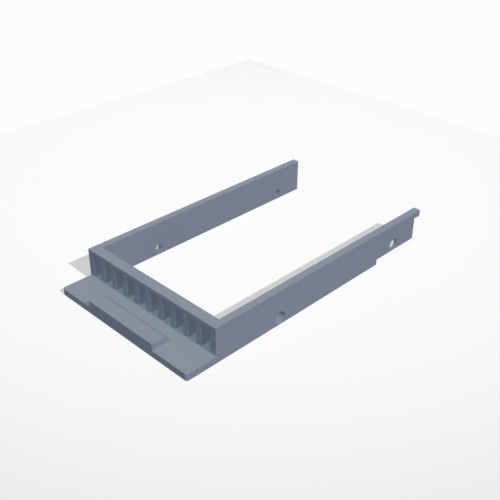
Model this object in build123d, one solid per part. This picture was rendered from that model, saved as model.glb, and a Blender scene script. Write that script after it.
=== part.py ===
from build123d import *
import os

# Hard drive caddy for a 2.5 inch drive: one moulded piece, a U of two rails behind a vented bezel.
# Millimetres, +Z up, +X to the right when the bezel is seen from the front, +Y from the lip to the rear.
# The origin is the middle of the footprint, on the underside.

# The drive that the caddy carries: a 2.5 inch drive's own standard sizes
drive_width = 69.85
drive_screw_spacing = 76.6        # between the two screws on one side
drive_screw_to_end = 14.0         # from the rear screw to the drive's connector end
drive_screw_height = 3.0          # from the drive's underside up to the screw axis

# How the drive sits in the caddy
side_clearance = 0.2              # between the drive and each rail
drive_lift = 0.1                  # the drive's underside above the rails' underside
connector_inset = 1.3             # the connector end stands this far inside the rails' rear ends

# Rails and bezel
rail_thickness = 3.25
rail_height = 15.65
rail_reach = 125.75               # from the bezel's front face to the rails' rear ends
bezel_depth = 4.8

# Lip in front of the bezel, with the raised grip pad on its front edge
lip_depth = 14.1
lip_thickness = 3.0
lip_corner_radius = 1.0
foot_radius = 0.75                # rounds the inside corner between the lip's top and the bezel
pad_width = 38.6
pad_rise = 3.0                    # above the lip
pad_top_depth = 6.3
pad_slope_run = 3.0               # the pad's rear face slopes down to the lip over this length

# Vent slots through the bezel, spread evenly from one wall of the bay to the other
slot_count = 10
post_width = 2.75                 # bezel left standing between two slots
slot_sill = 0.75                  # bezel left standing between the lip's top and the slots
slot_beam = 2.05                  # bezel left standing above the slots

# Relief in the outer face of the right rail, at its rear, under a flange of full thickness
relief_start = 95.4               # from the bezel's front face
relief_depth = 2.3
relief_flange_height = 2.95

# Screw holes through the rails, each with a counterbore for the screw's head on the outer face
screw_hole_diameter = 3.6
counterbore_diameter = 5.2
counterbore_ledge = 0.4           # rail left standing under the screw's head, on the bay side

# Sizes that follow from the values above
bay_width = drive_width + 2 * side_clearance
outer_width = bay_width + 2 * rail_thickness
total_length = lip_depth + rail_reach
front_y = -total_length / 2       # front edge of the lip
bezel_y = front_y + lip_depth     # front face of the bezel
rear_y = bezel_y + rail_reach     # rear ends of the rails
rear_screw_y = rear_y - connector_inset - drive_screw_to_end
front_screw_y = rear_screw_y - drive_screw_spacing
screw_z = drive_lift + drive_screw_height
slot_width = (bay_width - (slot_count - 1) * post_width) / slot_count
slot_pitch = slot_width + post_width


def block(x0, x1, y0, y1, z0, z1):
    """A box between two corners."""
    size = (x1 - x0, y1 - y0, z1 - z0)
    return Pos(x0, y0, z0) * Box(*size, align=(Align.MIN, Align.MIN, Align.MIN))


def rails():
    """The two side rails, from the bezel's front face to the rear."""
    left = block(-outer_width / 2, -bay_width / 2, bezel_y, rear_y, 0, rail_height)
    right = block(bay_width / 2, outer_width / 2, bezel_y, rear_y, 0, rail_height)
    return left + right


def bezel():
    """The crossbar that joins the rails, full height."""
    return block(-outer_width / 2, outer_width / 2, bezel_y, bezel_y + bezel_depth, 0, rail_height)


def lip():
    """The plate in front of the bezel, with its two front corners rounded."""
    plate = block(-outer_width / 2, outer_width / 2, front_y, bezel_y + bezel_depth / 2, 0, lip_thickness)
    front_corners = plate.edges().filter_by(Axis.Z).sort_by(Axis.Y)[:2]
    return fillet(front_corners, lip_corner_radius)


def grip_pad():
    """The raised pad on the lip's front edge: a level top and a sloped rear face."""
    section = Polyline(
        (front_y, 0),
        (front_y, lip_thickness + pad_rise),
        (front_y + pad_top_depth, lip_thickness + pad_rise),
        (front_y + pad_top_depth + pad_slope_run, lip_thickness),
        (front_y + pad_top_depth + pad_slope_run, 0),
        close=True,
    )
    profile = Plane.YZ.offset(-pad_width / 2) * make_face(section)
    return extrude(profile, amount=pad_width)


def foot_rounding(body):
    """The body with the inside corner at the foot of the bezel's front face rounded."""
    corner = body.edges().filter_by(Axis.X).filter_by_position(Axis.Y, bezel_y, bezel_y)
    corner = corner.filter_by_position(Axis.Z, lip_thickness, lip_thickness)
    return fillet(corner, foot_radius)


def vent_slots():
    """Cutters for the upright slots; the first and the last are flush with the bay's walls."""
    cutters = []
    for index in range(slot_count):
        left_edge = -bay_width / 2 + index * slot_pitch
        cutters.append(block(
            left_edge, left_edge + slot_width,
            bezel_y - bezel_depth / 2, bezel_y + bezel_depth * 1.5,
            lip_thickness + slot_sill, rail_height - slot_beam,
        ))
    return cutters


def rail_relief():
    """Cutter for the relief at the rear of the right rail, open below, outside and behind."""
    return block(
        outer_width / 2 - relief_depth, outer_width / 2 + relief_depth,
        bezel_y + relief_start, rear_y + relief_depth,
        -relief_depth, rail_height - relief_flange_height,
    )


def screw_hole(side, y):
    """Cutter for one stepped screw hole; side is -1 for the left rail and 1 for the right."""
    outward = Rotation(0, 90 * side, 0)
    base = (Align.CENTER, Align.CENTER, Align.MIN)
    bore = Cylinder(screw_hole_diameter / 2, 3 * rail_thickness, align=base)
    head = Cylinder(counterbore_diameter / 2, 2 * rail_thickness, align=base)
    bore_start = Pos(side * (bay_width / 2 - rail_thickness), y, screw_z)
    head_start = Pos(side * (bay_width / 2 + counterbore_ledge), y, screw_z)
    return bore_start * outward * bore + head_start * outward * head


def caddy():
    """The whole caddy as one solid."""
    body = foot_rounding(rails() + bezel() + lip() + grip_pad())
    for cutter in vent_slots():
        body -= cutter
    body -= rail_relief()
    for side in (-1, 1):
        for y in (front_screw_y, rear_screw_y):
            body -= screw_hole(side, y)
    return body.solid()


os.makedirs("parts", exist_ok=True)
part = caddy()
part.label = "drive_caddy"
export_step(part, "parts/drive_caddy.step")
print("outer", round(outer_width, 3), "x", round(total_length, 3), "x", rail_height)
print("screws at y", round(front_screw_y, 3), round(rear_screw_y, 3), "z", round(screw_z, 3))
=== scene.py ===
import math
import bpy
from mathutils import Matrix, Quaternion, Vector


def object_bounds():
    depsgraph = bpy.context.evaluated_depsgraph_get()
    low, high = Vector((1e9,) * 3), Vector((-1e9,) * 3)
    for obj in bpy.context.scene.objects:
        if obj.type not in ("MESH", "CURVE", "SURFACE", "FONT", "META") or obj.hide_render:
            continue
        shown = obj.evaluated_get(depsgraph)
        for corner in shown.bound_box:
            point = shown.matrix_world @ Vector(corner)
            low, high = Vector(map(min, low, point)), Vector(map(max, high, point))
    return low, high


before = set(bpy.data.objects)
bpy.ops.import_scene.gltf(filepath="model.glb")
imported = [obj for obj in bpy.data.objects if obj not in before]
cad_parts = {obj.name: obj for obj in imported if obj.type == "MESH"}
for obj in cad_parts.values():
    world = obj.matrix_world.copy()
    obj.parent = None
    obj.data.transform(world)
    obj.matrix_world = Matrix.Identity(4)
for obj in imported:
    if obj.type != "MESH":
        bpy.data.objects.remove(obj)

# Hard drive caddy, empty, on a pale floor: one piece of matt plastic under a hard key light.
# Lengths are metres in the caddy's own frame: the lip points towards -Y and the underside is z = 0.

cadLow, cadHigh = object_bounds()
cadCentre = (cadLow + cadHigh) / 2
millimetre = 0.001
colorMix = {"first": 6, "second": 7, "result": 2}   # a Mix node's own sockets for colours


def newMaterial(name):
    material = bpy.data.materials.new(name)
    material.use_nodes = True
    material.node_tree.nodes.clear()
    return material, material.node_tree


def addNode(tree, kind, **values):
    # values name the node's own settings
    node = tree.nodes.new(kind)
    for name, value in values.items():
        setattr(node, name, value)
    return node


def fill(tree, socket, value):
    # a socket takes either another node's output or a plain value
    if isinstance(value, bpy.types.NodeSocket):
        tree.links.new(value, socket)
    else:
        socket.default_value = value


def calc(tree, operation, first, second=0.0, clamp=False):
    node = addNode(tree, "ShaderNodeMath", operation=operation, use_clamp=clamp)
    fill(tree, node.inputs[0], first)
    fill(tree, node.inputs[1], second)
    return node.outputs[0]


def mixColors(tree, factor, first, second):
    # first at factor 0, second at factor 1
    node = addNode(tree, "ShaderNodeMix", data_type="RGBA")
    fill(tree, node.inputs["Factor"], factor)
    fill(tree, node.inputs[colorMix["first"]], first)
    fill(tree, node.inputs[colorMix["second"]], second)
    return node.outputs[colorMix["result"]]


def noise(tree, coordinates, size, detail):
    # noise whose blotches are about size metres across, around 0.5
    node = addNode(tree, "ShaderNodeTexNoise")
    fill(tree, node.inputs["Vector"], coordinates)
    fill(tree, node.inputs["Scale"], 1 / size)
    fill(tree, node.inputs["Detail"], detail)
    return node.outputs["Fac"]


def swing(tree, value, amount):
    # 1 plus or minus amount, from a value around 0.5
    centred = calc(tree, "SUBTRACT", value, 0.5)
    scaled = calc(tree, "MULTIPLY", centred, 2 * amount)
    return calc(tree, "ADD", scaled, 1.0)


def ridges(tree, along, pitch):
    # a cosine wave from 0 to 1 with one ridge every pitch metres of the value along
    turns = calc(tree, "MULTIPLY", along, 2 * math.pi / pitch)
    wave = calc(tree, "COSINE", turns)
    half = calc(tree, "MULTIPLY", wave, 0.5)
    return calc(tree, "ADD", half, 0.5)


plastic = {
    "color": (0.170, 0.203, 0.247, 1.0),   # blue-grey
    "wornColor": (0.235, 0.265, 0.305, 1.0),
    "specularLevel": 0.02,
    "roughness": 0.6,
    "roughnessSwing": 0.12,
    "toneBlotch": 26 * millimetre,         # broad, faint change of tone
    "toneDetail": 3.0,
    "toneSwing": 0.03,
    "speckle": 0.35 * millimetre,
    "speckleDetail": 2.0,
    "speckleSwing": 0.035,
    "topFacing": 0.85,                     # past this in Z, up or down, a normal counts as a top's
    "layerPitch": 0.2 * millimetre,        # layer lines, on the walls
    "rasterPitch": 0.42 * millimetre,      # laid lines, on the tops
    "ridgeTone": 0.02,                     # both kinds of line change the tone this much
    "ridgeHeight": 0.012 * millimetre,
    "edgeRadius": 0.2 * millimetre,
    "edgeSamples": 6,
    "edgeGain": 4.0,                       # how fast an edge takes up its full wear
    "edgeWear": 0.2,
    "wearBlotch": 3.5 * millimetre,
    "wearDetail": 3.0,
}


def lineRelief(tree, coordinates, normal, settings):
    # layer lines stack up along Z on the walls, laid lines run at 45 degrees on the tops
    position = addNode(tree, "ShaderNodeSeparateXYZ")
    fill(tree, position.inputs[0], coordinates)
    facing = addNode(tree, "ShaderNodeSeparateXYZ")
    fill(tree, facing.inputs[0], normal)
    level = calc(tree, "ABSOLUTE", facing.outputs["Z"])
    onTops = calc(tree, "GREATER_THAN", level, settings["topFacing"])
    onWalls = calc(tree, "SUBTRACT", 1.0, onTops)
    layers = ridges(tree, position.outputs["Z"], settings["layerPitch"])
    diagonal = calc(tree, "ADD", position.outputs["X"], position.outputs["Y"])
    raster = ridges(tree, diagonal, settings["rasterPitch"] * math.sqrt(2))
    wallRidges = calc(tree, "MULTIPLY", layers, onWalls)
    topRidges = calc(tree, "MULTIPLY", raster, onTops)
    return calc(tree, "ADD", wallRidges, topRidges)


def edgeWearMask(tree, coordinates, normal, rounded, settings):
    # an edge is where the rounded normal leaves the face's own
    agreement = addNode(tree, "ShaderNodeVectorMath", operation="DOT_PRODUCT")
    fill(tree, agreement.inputs[0], rounded)
    fill(tree, agreement.inputs[1], normal)
    edge = calc(tree, "SUBTRACT", 1.0, agreement.outputs["Value"], clamp=True)
    edge = calc(tree, "MULTIPLY", edge, settings["edgeGain"], clamp=True)
    blotch = noise(tree, coordinates, settings["wearBlotch"], settings["wearDetail"])
    patchy = calc(tree, "MULTIPLY", blotch, settings["edgeWear"])
    return calc(tree, "MULTIPLY", edge, patchy, clamp=True)


def caddyPlastic(settings):
    material, tree = newMaterial("moulded_plastic_detail")
    coordinates = addNode(tree, "ShaderNodeTexCoord").outputs["Object"]
    normal = addNode(tree, "ShaderNodeNewGeometry").outputs["Normal"]
    bevel = addNode(tree, "ShaderNodeBevel", samples=settings["edgeSamples"])
    fill(tree, bevel.inputs["Radius"], settings["edgeRadius"])
    rounded = bevel.outputs[0]

    lines = lineRelief(tree, coordinates, normal, settings)
    blotch = noise(tree, coordinates, settings["toneBlotch"], settings["toneDetail"])
    speckle = noise(tree, coordinates, settings["speckle"], settings["speckleDetail"])
    broadTone = swing(tree, blotch, settings["toneSwing"])
    fineTone = swing(tree, speckle, settings["speckleSwing"])
    tone = calc(tree, "MULTIPLY", broadTone, fineTone)
    tone = calc(tree, "MULTIPLY", tone, swing(tree, lines, settings["ridgeTone"]))

    wear = edgeWearMask(tree, coordinates, normal, rounded, settings)
    toned = addNode(tree, "ShaderNodeVectorMath", operation="SCALE")
    color = mixColors(tree, wear, settings["color"], settings["wornColor"])
    fill(tree, toned.inputs[0], color)
    fill(tree, toned.inputs["Scale"], tone)

    bump = addNode(tree, "ShaderNodeBump")
    fill(tree, bump.inputs["Distance"], settings["ridgeHeight"])
    fill(tree, bump.inputs["Height"], lines)
    fill(tree, bump.inputs["Normal"], rounded)

    shader = addNode(tree, "ShaderNodeBsdfPrincipled")
    roughness = swing(tree, speckle, settings["roughnessSwing"])
    roughness = calc(tree, "MULTIPLY", roughness, settings["roughness"])
    fill(tree, shader.inputs["Base Color"], toned.outputs[0])
    fill(tree, shader.inputs["Roughness"], roughness)
    fill(tree, shader.inputs["Specular IOR Level"], settings["specularLevel"])
    fill(tree, shader.inputs["Normal"], bump.outputs[0])
    output = addNode(tree, "ShaderNodeOutputMaterial")
    fill(tree, output.inputs["Surface"], shader.outputs[0])
    return material


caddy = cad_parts["drive_caddy"]
caddyMaterial = caddyPlastic(plastic)
for slot in caddy.material_slots:
    slot.material = caddyMaterial
print("plastic: one material on", caddy.name, "with", len(caddy.material_slots), "slot")


def seenDirectly(tree):
    # 1 for rays that show the floor or room itself: from the camera, off gloss or through glass
    path = addNode(tree, "ShaderNodeLightPath")
    seen = calc(tree, "MAXIMUM", path.outputs["Is Camera Ray"], path.outputs["Is Glossy Ray"])
    return calc(tree, "MAXIMUM", seen, path.outputs["Is Transmission Ray"])


floorSettings = {
    "halfSide": 0.207,
    "albedo": (0.635, 0.648, 0.658, 1.0),
    # darker colour far from the lit spot: painted falloff of light
    "paintedDimAlbedo": (0.529, 0.543, 0.564, 1.0),
    "paintedLightCentre": (-0.061, 0.063, 0.0),        # centre of a pool of light painted on the floor, lightest here
    "farRadius": 0.2374,                       # and this far away the painted falloff reaches its darkest colour
    "farPower": 4.9,                           # how late on the way the painted falloff darkens
    "shadingNormal": (0.21, 0.0, 0.978),       # leans to the key light, for a deeper shadow
    "bounceAlbedo": (0.05, 0.05, 0.05, 1.0),   # what the floor sends back onto the caddy
}


def paleFloor(settings):
    # painted light falloff on the floor: the darker far colour takes over as (distance / farRadius)
    # ** farPower, up to 1
    material, tree = newMaterial("pale_floor")
    away = addNode(tree, "ShaderNodeVectorMath", operation="DISTANCE")
    fill(tree, away.inputs[0], addNode(tree, "ShaderNodeTexCoord").outputs["Object"])
    fill(tree, away.inputs[1], settings["paintedLightCentre"])
    ratio = calc(tree, "DIVIDE", away.outputs["Value"], settings["farRadius"])
    paintedFalloff = calc(tree, "POWER", ratio, settings["farPower"], clamp=True)
    # floor colour carrying the painted falloff of light
    shade = mixColors(tree, paintedFalloff, settings["albedo"], settings["paintedDimAlbedo"])

    leaning = addNode(tree, "ShaderNodeVectorMath", operation="NORMALIZE")
    fill(tree, leaning.inputs[0], settings["shadingNormal"])
    lit = addNode(tree, "ShaderNodeBsdfDiffuse")
    fill(tree, lit.inputs["Color"], shade)
    fill(tree, lit.inputs["Normal"], leaning.outputs[0])
    bounce = addNode(tree, "ShaderNodeBsdfDiffuse")
    fill(tree, bounce.inputs["Color"], settings["bounceAlbedo"])

    mixed = addNode(tree, "ShaderNodeMixShader")
    fill(tree, mixed.inputs[0], seenDirectly(tree))
    fill(tree, mixed.inputs[1], bounce.outputs[0])
    fill(tree, mixed.inputs[2], lit.outputs[0])
    output = addNode(tree, "ShaderNodeOutputMaterial")
    fill(tree, output.inputs["Surface"], mixed.outputs[0])
    return material


def makeFloor(settings):
    half = settings["halfSide"]
    corners = [(-half, -half, 0.0), (half, -half, 0.0), (half, half, 0.0), (-half, half, 0.0)]
    mesh = bpy.data.meshes.new("floor")
    mesh.from_pydata(corners, [], [(0, 1, 2, 3)])
    floor = bpy.data.objects.new("floor", mesh)
    bpy.context.scene.collection.objects.link(floor)
    mesh.materials.append(paleFloor(settings))


makeFloor(floorSettings)
print("floor: a pale square,", 2 * floorSettings["halfSide"], "m wide")

roomSettings = {
    "color": (1.0, 1.0, 1.0, 1.0),
    "seenStrength": 0.975,     # how bright it looks, behind the floor and in gloss
    "lightStrength": 0.1,      # what it sheds on the caddy and the floor
}


def makeRoom(settings):
    world = bpy.data.worlds.new("pale_room")
    bpy.context.scene.world = world
    world.use_nodes = True
    tree = world.node_tree
    tree.nodes.clear()
    sky = addNode(tree, "ShaderNodeBackground")
    extra = settings["seenStrength"] - settings["lightStrength"]
    strength = calc(tree, "MULTIPLY", seenDirectly(tree), extra)
    strength = calc(tree, "ADD", strength, settings["lightStrength"])
    fill(tree, sky.inputs["Color"], settings["color"])
    fill(tree, sky.inputs["Strength"], strength)
    output = addNode(tree, "ShaderNodeOutputWorld")
    fill(tree, output.inputs["Surface"], sky.outputs[0])


makeRoom(roomSettings)
print("room: even and pale")

# towards points from the caddy to the light; the photo has one crisp shadow, the key light's
lights = {
    "key": {
        "towards": (0.7685, -0.03, 0.64),
        "strength": 2.17,
        "color": (1.01, 0.96, 0.98),
        "angleDeg": 1.0,
        "castsShadow": True,
        "glints": True,
    },
    "fill": {
        "towards": (0.542, -0.585, 0.603),
        "strength": 2.29,
        "color": (0.92, 0.98, 1.15),
        "angleDeg": 20.0,
        "castsShadow": False,
        "glints": True,
    },
    "overhead": {
        "towards": (0.08, -0.04, 1.0),
        "strength": 1.07,
        "color": (0.96, 0.87, 0.51),
        "angleDeg": 40.0,
        "castsShadow": False,
        "glints": True,
    },
    "back": {
        "towards": (-0.70, 0.68, 0.21),
        "strength": 2.2,
        "color": (1.0, 0.97, 0.98),
        "angleDeg": 40.0,
        "castsShadow": False,
        "glints": False,
    },
}


def makeLight(name, settings):
    data = bpy.data.lights.new(name, "SUN")
    data.energy = settings["strength"]
    data.color = settings["color"]
    data.angle = math.radians(settings["angleDeg"])
    data.use_shadow = settings["castsShadow"]
    light = bpy.data.objects.new(name, data)
    light.visible_glossy = settings["glints"]
    bpy.context.scene.collection.objects.link(light)
    light.rotation_mode = "QUATERNION"
    light.rotation_quaternion = Vector(settings["towards"]).to_track_quat("Z", "Y")


for name, settings in lights.items():
    makeLight(name, settings)
print("lights:", len(lights))

camera = {
    "azimuthDeg": 44.71,
    "elevationDeg": 31.13,
    "rollDeg": 0.28,
    "distance": 0.3328,        # from the middle of the caddy's box
    "focalPixels": 773.42,
    "photoPixels": 500,
    "sensorWidth": 36.0,       # this one in millimetres
    "clipNear": 0.01,
    "clipFar": 10.0,
}


def makeCamera(settings):
    azimuth = math.radians(settings["azimuthDeg"])
    elevation = math.radians(settings["elevationDeg"])
    back = Vector((
        math.sin(azimuth) * math.cos(elevation),
        -math.cos(azimuth) * math.cos(elevation),
        math.sin(elevation),
    ))
    data = bpy.data.cameras.new("camera")
    data.sensor_width = settings["sensorWidth"]
    data.lens = data.sensor_width * settings["focalPixels"] / settings["photoPixels"]
    data.clip_start = settings["clipNear"]
    data.clip_end = settings["clipFar"]
    view = bpy.data.objects.new("camera", data)
    bpy.context.scene.collection.objects.link(view)
    view.location = cadCentre + back * settings["distance"]
    view.rotation_mode = "QUATERNION"
    roll = Quaternion((0.0, 0.0, 1.0), math.radians(settings["rollDeg"]))
    view.rotation_quaternion = (-back).to_track_quat("-Z", "Y") @ roll
    bpy.context.scene.camera = view


makeCamera(camera)
bpy.context.scene.view_settings.view_transform = "Standard"
print("camera: done")
